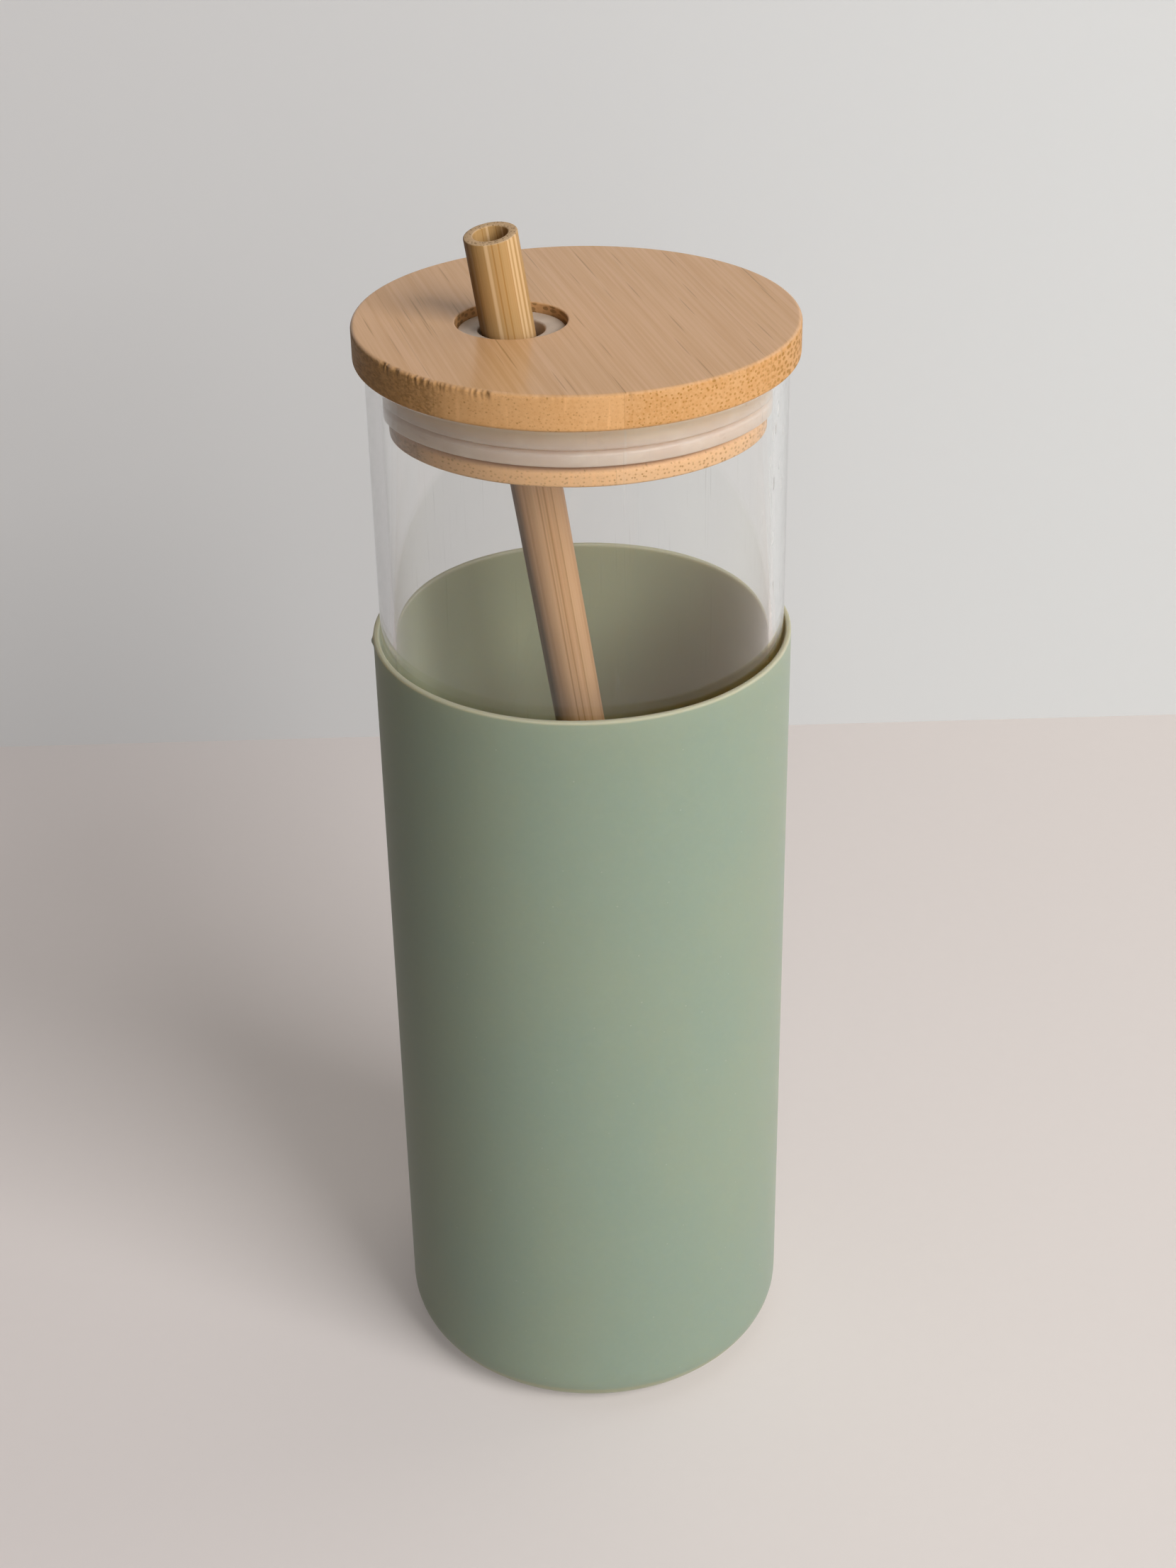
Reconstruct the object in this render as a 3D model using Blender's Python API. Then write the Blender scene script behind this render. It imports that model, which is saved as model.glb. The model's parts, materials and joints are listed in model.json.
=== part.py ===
"""Glass tumbler in a silicone sleeve, with a push-in bamboo lid and a bamboo straw.

Metres, +Z up. The sleeve stands on z = 0 and the glass's axis is the Z axis.
"""

from math import atan2, cos, hypot, pi, radians, sin, tan

import bmesh
import bpy
from mathutils import Matrix, Vector

MM = 0.001

# Fits between pieces
SEAT_GAP = 0.3 * MM  # left between two pieces that touch
PLUG_CLEARANCE = 1.2 * MM  # between the plug's flange and the glass
STRAW_PLAY = 0.3 * MM  # how far the straw sits off the grommet's centre
STRAW_PASSAGE = 0.7 * MM  # left round the straw where it leaves the plug
FOOT_CLEARANCE = 2.0 * MM  # between the straw's foot and the glass's wall
FOOT_LIFT = 3.6 * MM  # of the straw's foot off the glass's floor, so that drink can enter it

# Glass
GLASS_RADIUS = 37.1 * MM
GLASS_WALL = 2.6 * MM
GLASS_HEIGHT = 209.7 * MM
GLASS_BASE = 6.0 * MM
GLASS_HEEL = 6.8 * MM  # outer rounding at the base
GLASS_FLOOR_FILLET = 3.0 * MM
GLASS_LIP = 0.9 * MM

# Sleeve
SLEEVE_WALL = 1.1 * MM
SLEEVE_BASE = 1.6 * MM
SLEEVE_HEIGHT = 159.0 * MM
SLEEVE_LIP = 0.35 * MM

# Lid
LID_OVERHANG = 1.9 * MM  # of the disc beyond the glass
DISC_THICKNESS = 6.35 * MM
DISC_EDGE = 0.7 * MM
PLUG_FLANGE = 3.6 * MM  # thickness of the flange under the seal
PLUG_GROOVE = 2.8 * MM  # depth of the neck that holds the seal
PLUG_EDGE = 0.45 * MM
SEAL_HEIGHT = 7.3 * MM
SEAL_LOWER_RIB = 2.7 * MM
SEAL_RIB_DEPTH = 0.9 * MM
SEAL_GROOVE_WIDTH = 0.9 * MM
SEAL_ROUND = 0.5 * MM

# Straw hole and grommet
HOLE_OFFSET = 11.35 * MM  # from the lid's axis
HOLE_BEARING = radians(190.5)
HOLE_EDGE = 0.3 * MM
GROMMET_WALL = 3.7 * MM
GROMMET_RECESS = 1.55 * MM  # of its top face below the disc's
GROMMET_EDGE = 0.45 * MM

# Straw
STRAW_RADIUS = 4.64 * MM
STRAW_WALL = 1.67 * MM
STRAW_LENGTH = 225.7 * MM
STRAW_EDGE = 0.25 * MM
FOOT_BEARING = radians(55.2)
PLAY_BEARING = radians(180.0)

# Facets
TURN_STEPS = 64
BORE_STEPS = 32
FILLET_STEPS = 3
FILLET_SHARE = 0.49  # most of a side that one fillet may take
SHARP_ANGLE = radians(40)
WELD = 0.001 * MM
STANCE_PASSES = 8

# Heights and radii that follow from the sizes above
GLASS_INNER = GLASS_RADIUS - GLASS_WALL
GLASS_FOOT_Z = SLEEVE_BASE + SEAT_GAP
GLASS_FLOOR_Z = GLASS_FOOT_Z + GLASS_BASE
GLASS_TOP_Z = GLASS_FOOT_Z + GLASS_HEIGHT
SLEEVE_INNER = GLASS_RADIUS + SEAT_GAP
DISC_RADIUS = GLASS_RADIUS + LID_OVERHANG
DISC_UNDER_Z = GLASS_TOP_Z + SEAT_GAP
DISC_TOP_Z = DISC_UNDER_Z + DISC_THICKNESS
PLUG_TOP_Z = DISC_UNDER_Z - SEAT_GAP
SEAL_UNDER_Z = PLUG_TOP_Z - SEAL_HEIGHT
FLANGE_TOP_Z = SEAL_UNDER_Z - SEAT_GAP
PLUG_UNDER_Z = FLANGE_TOP_Z - PLUG_FLANGE
FLANGE_RADIUS = GLASS_INNER - PLUG_CLEARANCE
NECK_RADIUS = FLANGE_RADIUS - PLUG_GROOVE
GROMMET_UNDER_Z = PLUG_TOP_Z + SEAT_GAP
GROMMET_TOP_Z = DISC_TOP_Z - GROMMET_RECESS
GROMMET_MID_Z = (GROMMET_UNDER_Z + GROMMET_TOP_Z) / 2
HOLE_CENTRE = Vector((cos(HOLE_BEARING), sin(HOLE_BEARING), 0)) * HOLE_OFFSET


def straw_stance():
    """Centre of the straw's foot, its direction upwards, and its lean from upright.

    The grommet grips the straw with its foot just off the glass's floor and beside the wall, and
    the straw lies against one side of the grommet's bore. The foot's own tilt lifts its centre, so
    a few passes settle the lean.
    """
    aside = Vector((cos(PLAY_BEARING), sin(PLAY_BEARING), 0)) * STRAW_PLAY
    held = HOLE_CENTRE + aside + Vector((0, 0, GROMMET_MID_Z))
    lean = 0.0
    for _ in range(STANCE_PASSES):
        reach = GLASS_INNER - FOOT_CLEARANCE - STRAW_RADIUS * cos(lean)
        height = GLASS_FLOOR_Z + FOOT_LIFT + STRAW_RADIUS * sin(lean)
        foot = Vector((reach * cos(FOOT_BEARING), reach * sin(FOOT_BEARING), height))
        rise = held - foot
        lean = atan2(hypot(rise.x, rise.y), rise.z)
    return foot, rise.normalized(), lean


STRAW_FOOT, STRAW_AXIS, STRAW_LEAN = straw_stance()
STRAW_SECTION = STRAW_RADIUS / cos(STRAW_LEAN)  # half the leaning straw's width on a level plane
GROMMET_BORE = (
    STRAW_SECTION + (GROMMET_TOP_Z - GROMMET_MID_Z) * tan(STRAW_LEAN) + STRAW_PLAY + SEAT_GAP
)
GROMMET_RADIUS = GROMMET_BORE + GROMMET_WALL
DISC_HOLE = GROMMET_RADIUS + SEAT_GAP
PLUG_HOLE = (
    STRAW_SECTION + (GROMMET_MID_Z - PLUG_UNDER_Z) * tan(STRAW_LEAN) + STRAW_PLAY + STRAW_PASSAGE
)


def rounded(corners, closed):
    """Outline through corners (radius, height, fillet), with each fillet as an arc."""
    outline = []
    count = len(corners)
    for index, (radius, height, fillet) in enumerate(corners):
        corner = Vector((radius, height))
        if not fillet or (not closed and index in (0, count - 1)):
            outline.append(corner)
            continue
        before = Vector(corners[index - 1][:2]) - corner
        after = Vector(corners[(index + 1) % count][:2]) - corner
        half = before.angle(after) / 2
        setback = min(fillet / tan(half), FILLET_SHARE * before.length, FILLET_SHARE * after.length)
        inward = (before.normalized() + after.normalized()).normalized()
        centre = corner + inward * setback / cos(half)
        start = corner + before.normalized() * setback - centre
        sweep = start.angle_signed(corner + after.normalized() * setback - centre)
        for step in range(FILLET_STEPS + 1):
            turn = Matrix.Rotation(-sweep * step / FILLET_STEPS, 2)
            outline.append(centre + turn @ start)
    return outline


def turned(name, corners, steps):
    """Mesh of an outline turned about the Z axis. An outline that starts on the axis is open there."""
    closed = corners[0][0] > 0
    outline = rounded(corners, closed)
    form = bmesh.new()
    points = [form.verts.new((point.x, 0, point.y)) for point in outline]
    pairs = list(zip(points, points[1:]))
    if closed:
        pairs.append((points[-1], points[0]))
    edges = [form.edges.new(pair) for pair in pairs]
    bmesh.ops.spin(
        form, geom=points + edges, cent=(0, 0, 0), axis=(0, 0, 1), angle=2 * pi, steps=steps
    )
    bmesh.ops.remove_doubles(form, verts=form.verts, dist=WELD)
    bmesh.ops.recalc_face_normals(form, faces=form.faces)
    mesh = bpy.data.meshes.new(name)
    form.to_mesh(mesh)
    form.free()
    mesh.shade_smooth()
    mesh.set_sharp_from_angle(angle=SHARP_ANGLE)
    return mesh


def finish(name, colour, roughness, clear=0.0):
    """Material of a piece, with how much light it lets through."""
    material = bpy.data.materials.new(name)
    material.use_nodes = True
    shader = material.node_tree.nodes["Principled BSDF"]
    shader.inputs["Base Color"].default_value = (*colour, 1)
    shader.inputs["Roughness"].default_value = roughness
    shader.inputs["Metallic"].default_value = 0.0
    shader.inputs["Transmission Weight"].default_value = clear
    return material


def add_piece(name, mesh, material, parent, place):
    """Object of a mesh, placed in the world under its parent empty."""
    mesh.materials.append(material)
    piece = bpy.data.objects.new(name, mesh)
    bpy.context.collection.objects.link(piece)
    if parent:
        piece.parent = parent
        piece.matrix_parent_inverse = Matrix.Translation(parent.location).inverted()
    piece.matrix_basis = place
    return piece


def add_joint_empty(name, height):
    """Empty on the glass's axis, which carries what moves together."""
    empty = bpy.data.objects.new(name, None)
    empty.location = (0, 0, height)
    bpy.context.collection.objects.link(empty)
    return empty


def cut_hole(piece, radius, low, high):
    """Cut an upright hole for the straw through a piece, with both of its edges eased."""
    past = HOLE_EDGE * 2
    corners = [
        (0, high + past, 0),
        (radius + HOLE_EDGE + past, high + past, 0),
        (radius, high - HOLE_EDGE, 0),
        (radius, low + HOLE_EDGE, 0),
        (radius + HOLE_EDGE + past, low - past, 0),
        (0, low - past, 0),
    ]
    name = f"{piece.name}_hole"
    cutter = bpy.data.objects.new(name, turned(name, corners, BORE_STEPS))
    cutter.location = HOLE_CENTRE
    cutter.hide_render = True
    cutter.display_type = "WIRE"
    bpy.context.collection.objects.link(cutter)
    cut = piece.modifiers.new("straw hole", "BOOLEAN")
    cut.operation = "DIFFERENCE"
    cut.solver = "EXACT"
    cut.object = cutter


def make_glass():
    """Straight tumbler with a heavy base, a rounded heel and a fire-polished lip."""
    corners = [
        (0, GLASS_FOOT_Z, 0),
        (GLASS_RADIUS, GLASS_FOOT_Z, GLASS_HEEL),
        (GLASS_RADIUS, GLASS_TOP_Z, GLASS_LIP),
        (GLASS_INNER, GLASS_TOP_Z, GLASS_LIP),
        (GLASS_INNER, GLASS_FLOOR_Z, GLASS_FLOOR_FILLET),
        (0, GLASS_FLOOR_Z, 0),
    ]
    mesh = turned("glass_tumbler", corners, TURN_STEPS)
    clear_glass = finish("clear glass", (0.93, 0.95, 0.94), 0.03, clear=1.0)
    add_piece("glass_tumbler", mesh, clear_glass, None, Matrix())


def make_sleeve():
    """Moulded boot that follows the glass's side, heel and base, with an eased lip."""
    inner_heel = GLASS_HEEL + SEAT_GAP
    outer = SLEEVE_INNER + SLEEVE_WALL
    corners = [
        (0, 0, 0),
        (outer, 0, inner_heel + SLEEVE_WALL),
        (outer, SLEEVE_HEIGHT, SLEEVE_LIP),
        (SLEEVE_INNER, SLEEVE_HEIGHT, SLEEVE_LIP),
        (SLEEVE_INNER, SLEEVE_BASE, inner_heel),
        (0, SLEEVE_BASE, 0),
    ]
    mesh = turned("silicone_sleeve", corners, TURN_STEPS)
    sage = finish("sage silicone", (0.262, 0.333, 0.253), 0.55)
    add_piece("silicone_sleeve", mesh, sage, None, Matrix())


def make_disc(bamboo, lid):
    """Flat round top with eased edges and the hole that holds the grommet."""
    corners = [
        (0, DISC_UNDER_Z, 0),
        (DISC_RADIUS, DISC_UNDER_Z, DISC_EDGE),
        (DISC_RADIUS, DISC_TOP_Z, DISC_EDGE),
        (0, DISC_TOP_Z, 0),
    ]
    disc = add_piece("lid_disc", turned("lid_disc", corners, TURN_STEPS), bamboo, lid, Matrix())
    cut_hole(disc, DISC_HOLE, DISC_UNDER_Z, DISC_TOP_Z)


def make_plug(bamboo, lid):
    """Spool under the disc, with a neck for the seal. Its narrower hole is the grommet's shelf."""
    corners = [
        (0, PLUG_UNDER_Z, 0),
        (FLANGE_RADIUS, PLUG_UNDER_Z, PLUG_EDGE),
        (FLANGE_RADIUS, FLANGE_TOP_Z, PLUG_EDGE),
        (NECK_RADIUS, FLANGE_TOP_Z, 0),
        (NECK_RADIUS, PLUG_TOP_Z, 0),
        (0, PLUG_TOP_Z, 0),
    ]
    plug = add_piece("lid_plug", turned("lid_plug", corners, TURN_STEPS), bamboo, lid, Matrix())
    cut_hole(plug, PLUG_HOLE, PLUG_UNDER_Z, PLUG_TOP_Z)


def make_seal(seat):
    """Ring on the plug's neck with two ribs, parted by a notch, that press on the glass."""
    bore = NECK_RADIUS + SEAT_GAP
    tip = GLASS_INNER - SEAT_GAP
    notch = SEAL_UNDER_Z + SEAL_LOWER_RIB
    top = SEAL_UNDER_Z + SEAL_HEIGHT
    corners = [
        (bore, SEAL_UNDER_Z, 0),
        (tip, SEAL_UNDER_Z, SEAL_ROUND),
        (tip, notch - SEAL_GROOVE_WIDTH / 2, SEAL_ROUND),
        (tip - SEAL_RIB_DEPTH, notch, 0),
        (tip, notch + SEAL_GROOVE_WIDTH / 2, SEAL_ROUND),
        (tip, top, SEAL_ROUND),
        (bore, top, 0),
    ]
    frosted = finish("frosted silicone", (0.62, 0.52, 0.44), 0.45, clear=0.3)
    add_piece("lid_seal", turned("lid_seal", corners, TURN_STEPS), frosted, seat, Matrix())


def make_grommet(lid):
    """Soft ring on the plug's shelf, with eased edges and a bore that the straw leans in."""
    depth = GROMMET_TOP_Z - GROMMET_UNDER_Z
    corners = [
        (GROMMET_BORE, 0, GROMMET_EDGE),
        (GROMMET_RADIUS, 0, GROMMET_EDGE),
        (GROMMET_RADIUS, depth, GROMMET_EDGE),
        (GROMMET_BORE, depth, GROMMET_EDGE),
    ]
    place = Matrix.Translation(HOLE_CENTRE + Vector((0, 0, GROMMET_UNDER_Z)))
    milky = finish("milky silicone", (0.55, 0.51, 0.47), 0.5)
    add_piece("straw_grommet", turned("straw_grommet", corners, BORE_STEPS), milky, lid, place)


def make_straw(lid):
    """Open bamboo tube, cut square at both ends, with its origin at its foot on its own axis."""
    bore = STRAW_RADIUS - STRAW_WALL
    corners = [
        (bore, 0, STRAW_EDGE),
        (STRAW_RADIUS, 0, STRAW_EDGE),
        (STRAW_RADIUS, STRAW_LENGTH, STRAW_EDGE),
        (bore, STRAW_LENGTH, STRAW_EDGE),
    ]
    upright = STRAW_AXIS.to_track_quat("Z", "Y").to_matrix().to_4x4()
    place = Matrix.Translation(STRAW_FOOT) @ upright
    golden = finish("golden bamboo", (0.40, 0.28, 0.14), 0.4)
    add_piece("bamboo_straw", turned("bamboo_straw", corners, BORE_STEPS), golden, lid, place)


def main():
    for old in list(bpy.data.objects):
        bpy.data.objects.remove(old, do_unlink=True)
    bamboo = finish("pale bamboo", (0.545, 0.337, 0.216), 0.5)
    seat = add_joint_empty("seal_seat", SEAL_UNDER_Z)
    lid = add_joint_empty("lid_centre", DISC_UNDER_Z)
    make_glass()
    make_sleeve()
    make_disc(bamboo, lid)
    make_plug(bamboo, lid)
    make_seal(seat)
    make_grommet(lid)
    make_straw(lid)


main()
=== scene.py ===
import json
import random
from math import atan2, cos, degrees, exp, pi, radians, sin, sqrt, tan

import bmesh
import bpy
from mathutils import Matrix, Vector, noise


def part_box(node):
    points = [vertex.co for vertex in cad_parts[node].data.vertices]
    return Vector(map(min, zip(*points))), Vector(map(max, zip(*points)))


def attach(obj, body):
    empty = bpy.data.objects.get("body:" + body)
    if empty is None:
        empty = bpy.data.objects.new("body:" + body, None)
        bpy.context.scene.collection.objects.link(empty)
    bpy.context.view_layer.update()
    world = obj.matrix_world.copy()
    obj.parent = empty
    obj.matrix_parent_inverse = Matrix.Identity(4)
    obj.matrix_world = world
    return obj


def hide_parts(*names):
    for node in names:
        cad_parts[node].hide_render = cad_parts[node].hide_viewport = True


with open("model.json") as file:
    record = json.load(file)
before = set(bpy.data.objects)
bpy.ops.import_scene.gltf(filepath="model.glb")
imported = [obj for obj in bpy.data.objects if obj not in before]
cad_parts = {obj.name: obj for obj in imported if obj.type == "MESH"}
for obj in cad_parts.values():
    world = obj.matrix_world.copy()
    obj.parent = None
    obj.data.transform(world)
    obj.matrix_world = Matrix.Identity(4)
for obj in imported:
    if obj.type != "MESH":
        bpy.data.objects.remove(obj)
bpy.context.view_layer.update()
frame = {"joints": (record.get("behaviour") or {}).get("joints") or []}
mm = 0.001


# Nodes, for finishes and for geometry

class Wire:  # one socket, which adds and multiplies like a number
    def __init__(self, sheet, socket):
        self.sheet = sheet
        self.socket = socket

    def maths(self, operation, first, second=0.0):
        return self.sheet.node("ShaderNodeMath", {"operation": operation}, {0: first, 1: second})

    def __add__(self, other):
        return self.maths("ADD", self, other)

    def __sub__(self, other):
        return self.maths("SUBTRACT", self, other)

    def __rsub__(self, other):
        return self.maths("SUBTRACT", other, self)

    def __mul__(self, other):
        return self.maths("MULTIPLY", self, other)

    def __truediv__(self, other):
        return self.maths("DIVIDE", self, other)

    __radd__ = __add__
    __rmul__ = __mul__

    def size(self):
        return self.maths("ABSOLUTE", self)

    def whole(self):
        return self.maths("FLOOR", self)

    def rise(self, low, high):  # 0 at low to 1 at high, eased, and falling where low is above high
        return self.sheet.node(
            "ShaderNodeMapRange",
            {"interpolation_type": "SMOOTHSTEP"},
            {"Value": self, "From Min": low, "From Max": high},
        )

    def part(self, axis):
        return self.sheet.node("ShaderNodeSeparateXYZ", {}, {"Vector": self}, axis)

    def bearing(self):  # the turn about the upright axis, in radians
        return self.maths("ARCTAN2", self.part("Y"), self.part("X"))


class Sheet:  # a node tree that is filled node by node
    def __init__(self, tree):
        self.tree = tree

    def node(self, kind, settings=None, sockets=None, out=0):
        made = self.tree.nodes.new(kind)
        for name, value in (settings or {}).items():
            setattr(made, name, value)
        for name, value in (sockets or {}).items():
            if isinstance(value, Wire):
                self.tree.links.new(value.socket, made.inputs[name])
            else:
                made.inputs[name].default_value = value
        return Wire(self, made.outputs[out]) if made.outputs else None

    def seen(self):  # 1 for what the camera sees, also in a mirror or through glass
        rays = ("Is Camera Ray", "Is Glossy Ray", "Is Transmission Ray")
        return sum(self.node("ShaderNodeLightPath", out=ray) for ray in rays)


class Finish(Sheet):  # a material
    def __init__(self, name):
        self.material = bpy.data.materials.new(name)
        self.material.use_nodes = True
        super().__init__(self.material.node_tree)
        self.tree.nodes.clear()

    def place(self, stretch=(1, 1, 1), centre=(0, 0, 0), turn=(0, 0, 0)):  # millimetres, over stretch
        where = self.node("ShaderNodeTexCoord", out="Object")
        return self.node(
            "ShaderNodeMapping",
            {"vector_type": "TEXTURE"},
            {"Vector": where, "Location": centre, "Rotation": turn, "Scale": [s * mm for s in stretch]},
        )

    def cloud(self, where, detail=2.0, rough=0.5):
        sockets = {"Vector": where, "Scale": 1, "Detail": detail, "Roughness": rough}
        return self.node("ShaderNodeTexNoise", {}, sockets)

    def cells(self, where, scatter=1.0, span="3D"):  # the way to the nearest of some scattered points
        sockets = {"Vector": where, "Scale": 1, "Randomness": scatter}
        return self.node("ShaderNodeTexVoronoi", {"voronoi_dimensions": span}, sockets, "Distance")

    def span(self, where):  # how far a place is from its centre
        return self.node("ShaderNodeVectorMath", {"operation": "LENGTH"}, {0: where}, "Value")

    def mix(self, amount, first, second):
        return self.node("ShaderNodeMix", {"data_type": "RGBA"}, {0: amount, 6: first, 7: second}, 2)

    def bump(self, height, depth, strength=1.0):
        return self.node("ShaderNodeBump", {}, {"Strength": strength, "Distance": depth, "Height": height})

    def principled(self, **sockets):
        named = {name.replace("_", " "): value for name, value in sockets.items()}
        return self.node("ShaderNodeBsdfPrincipled", {}, named)

    def blend(self, amount, first, second):
        return self.node("ShaderNodeMixShader", {}, {0: amount, 1: first, 2: second})

    def wear(self, shader):
        self.node("ShaderNodeOutputMaterial", {}, {"Surface": shader})
        return self.material


anyHeight = (1, 1, 1e6)  # a stretch with which all heights count as one


def ink(red, green, blue):
    return (red, green, blue, 1)


# Turned pieces: an outline of radius and height is swept round the upright axis

def turnTree():
    tree = bpy.data.node_groups.new("turnedPiece", "GeometryNodeTree")
    inputs = {
        "Outline": "Geometry",
        "Hub": "Float",
        "Segments": "Int",
        "Weld": "Float",
        "Finish": "Material",
    }
    for name, kind in inputs.items():
        tree.interface.new_socket(name, in_out="INPUT", socket_type="NodeSocket" + kind)
    tree.interface.new_socket("Piece", in_out="OUTPUT", socket_type="NodeSocketGeometry")
    sheet = Sheet(tree)
    given = {name: sheet.node("NodeGroupInput", out=name) for name in inputs}
    inward = sheet.node("ShaderNodeCombineXYZ", {}, {"X": 0 - given["Hub"]})
    outline = sheet.node("GeometryNodeMeshToCurve", {}, {"Mesh": given["Outline"]})
    outline = sheet.node("GeometryNodeSetPosition", {}, {"Geometry": outline, "Offset": inward})
    ring = sheet.node(
        "GeometryNodeCurvePrimitiveCircle", {}, {"Resolution": given["Segments"], "Radius": given["Hub"]}
    )
    swept = sheet.node("GeometryNodeCurveToMesh", {}, {"Curve": ring, "Profile Curve": outline})
    welded = sheet.node("GeometryNodeMergeByDistance", {}, {"Geometry": swept, "Distance": given["Weld"]})
    smooth = sheet.node("GeometryNodeSetShadeSmooth", {}, {"Geometry": welded})
    plain = sheet.node("GeometryNodeRealizeInstances", {}, {"Geometry": smooth})
    dressed = sheet.node("GeometryNodeSetMaterial", {}, {"Geometry": plain, "Material": given["Finish"]})
    sheet.node("NodeGroupOutput", {}, {"Piece": dressed})
    return tree


def grown(name, tree, start, values):  # a tree's result on a start mesh, as a plain mesh
    maker = bpy.data.objects.new(name, start)
    bpy.context.collection.objects.link(maker)
    modifier = maker.modifiers.new(name, "NODES")
    modifier.node_group = tree
    for item in tree.interface.items_tree:
        if item.in_out == "INPUT" and item.name in values:
            modifier[item.identifier] = values[item.name]
    shown = maker.evaluated_get(bpy.context.evaluated_depsgraph_get())
    mesh = bpy.data.meshes.new_from_object(shown)
    bpy.data.objects.remove(maker)
    return mesh


# lengths in millimetres
holdAway = 0.25  # a point this far from each end of a long straight keeps its shading flat
longStraight = 3.0
hub = 10.0  # radius of the ring that an outline is swept round
weld = 0.0005  # points this near to each other are one
runIn = 6.0  # flat beside a corner, of which only the point next to the corner is kept
mostSetback = 0.49  # share of a side that a corner's rounding may take up
crease = radians(35)  # an edge that turns by more stays sharp


def held(points, closed):
    whole = []
    for here, after in zip(points, points[1:] + points[:1]):
        whole.append(here)
        run = (after - here).length
        if run > longStraight:
            whole += [here.lerp(after, holdAway / run), here.lerp(after, 1 - holdAway / run)]
    if closed:
        return whole
    return whole[: whole.index(points[-1]) + 1]


def easedOutline(corners, closed, arcSteps=6):  # corners are radius, height and fillet in millimetres
    points = []
    for index, (radius, height, fillet) in enumerate(corners):
        corner = Vector((radius, height))
        if not fillet or (not closed and index in (0, len(corners) - 1)):
            points.append(corner)
            continue
        before = Vector(corners[index - 1][:2]) - corner
        after = Vector(corners[(index + 1) % len(corners)][:2]) - corner
        half = before.angle(after) / 2
        setback = min(fillet / tan(half), before.length * mostSetback, after.length * mostSetback)
        middle = corner + (before.normalized() + after.normalized()).normalized() * setback / cos(half)
        start = corner + before.normalized() * setback - middle
        sweep = start.angle_signed(corner + after.normalized() * setback - middle)
        for step in range(arcSteps + 1):
            points.append(middle + Matrix.Rotation(-sweep * step / arcSteps, 2) @ start)
    return held(points, closed)


def settled(mesh):  # doubles merged, faces outwards, creases kept
    form = bmesh.new()
    form.from_mesh(mesh)
    bmesh.ops.remove_doubles(form, verts=form.verts, dist=weld * mm)
    bmesh.ops.recalc_face_normals(form, faces=form.faces)
    form.to_mesh(mesh)
    form.free()
    mesh.shade_smooth()
    mesh.set_sharp_from_angle(angle=crease)
    return mesh


turning = turnTree()


def turned(name, points, closed, finish, segments):
    edges = [(index, index + 1) for index in range(len(points) - 1)]
    if closed:
        edges.append((len(points) - 1, 0))
    outline = bpy.data.meshes.new(name)
    outline.from_pydata([(point.x * mm, -point.y * mm, 0) for point in points], edges, [])
    values = {"Hub": hub * mm, "Segments": segments, "Weld": weld * mm, "Finish": finish}
    return settled(grown(name, turning, outline, values))


# Bored pieces: an outline about the lid's axis, joined to a hole that is off to one side

nearEnds = (0.01, 0.08)  # extra rows at these shares from each end keep the flats' shading flat


def bored(name, outer, hole, holeCentre, finish, columns, bridge):
    low, high = outer[-1], outer[0]
    rings = [(1, point) for point in hole]
    between = [step / bridge for step in range(1, bridge)]
    shares = [*nearEnds, *between, *(1 - share for share in reversed(nearEnds))]
    rings += [(1 - share, hole[-1].lerp(high, share)) for share in shares]
    rings += [(0, point) for point in outer]
    rings += [(share, low.lerp(hole[0], share)) for share in shares]
    spots = []
    for offset, point in rings:
        for column in range(columns):
            turn = 2 * pi * column / columns
            reach = Vector((cos(turn), sin(turn), 0)) * point.x + holeCentre * offset
            spots.append((reach + Vector((0, 0, point.y))) * mm)
    faces = []
    for row in range(len(rings)):
        for column in range(columns):
            here, beside = row * columns, ((row + 1) % len(rings)) * columns
            after = (column + 1) % columns
            faces.append((here + column, here + after, beside + after, beside + column))
    mesh = bpy.data.meshes.new(name)
    mesh.from_pydata(spots, [], faces)
    mesh.materials.append(finish)
    return settled(mesh)


def addPiece(name, mesh, body, node):
    piece = bpy.data.objects.new(name, mesh)
    bpy.context.collection.objects.link(piece)
    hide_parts(node)
    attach(piece, body)
    print("piece:", name, len(mesh.polygons), "faces")


def reach(node):  # radius, bottom and top of a round node in millimetres
    low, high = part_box(node)
    return (high.x - low.x) / 2 / mm, low.z / mm, high.z / mm


# Sleeve

sleeve = {
    "wall": 1.1,
    "base": 1.6,
    "heel": 8.2,  # outer rounding at the base
    "lip": 0.35,
    "segments": 256,
    "arcSteps": 10,
    "firstRow": 2.2,  # rows start this many heels up, clear of the rounding
    "rowStep": 2.6,
    "fineRows": (4.2, 8),  # the rows are closer this near to the rim, and how many would fill it
    "sag": 0.10,  # how far the rim wanders
    "sagMean": 0.6,  # and the share of it that is the same all round
    "sagScale": 0.045,
    "sagReach": 14,  # how far down it fades out
    "nubAt": (radians(184), 1.3),  # bearing of the moulding nub, and its depth below the rim
    "nubRise": 0.45,
    "nubLeast": 0.01,
    "nubSpread": 0.8,
    "flare": (0.05, 2.4),  # how far the rim stands off the glass, and from how far down
    "skin": (0.5, 0.8),  # depths between which the outside gives way to the inside
    "rimDepth": (0.75, 0.35),
    "paintedRimGlowDepth": 7,  # painted light: the sleeve is coloured lighter this far down from the rim, for light coming through the silicone
    "sage": ink(0.294, 0.354, 0.274),
    "dusk": ink(0.279, 0.349, 0.279),
    "mottle": ink(0.36, 0.41, 0.33),
    "paintedRimGlow": ink(0.42, 0.45, 0.33),
    "speck": ink(0.55, 0.57, 0.50),
    "rim": ink(0.45, 0.45, 0.34),
    "paintedInnerGlow": ink(0.45, 0.41, 0.22),  # painted light: the inner face is coloured lighter and warmer, for light coming through the silicone
    "scatter": (0.0036, 0.0028, 0.0018),
    "roughness": 0.58,
}


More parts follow.
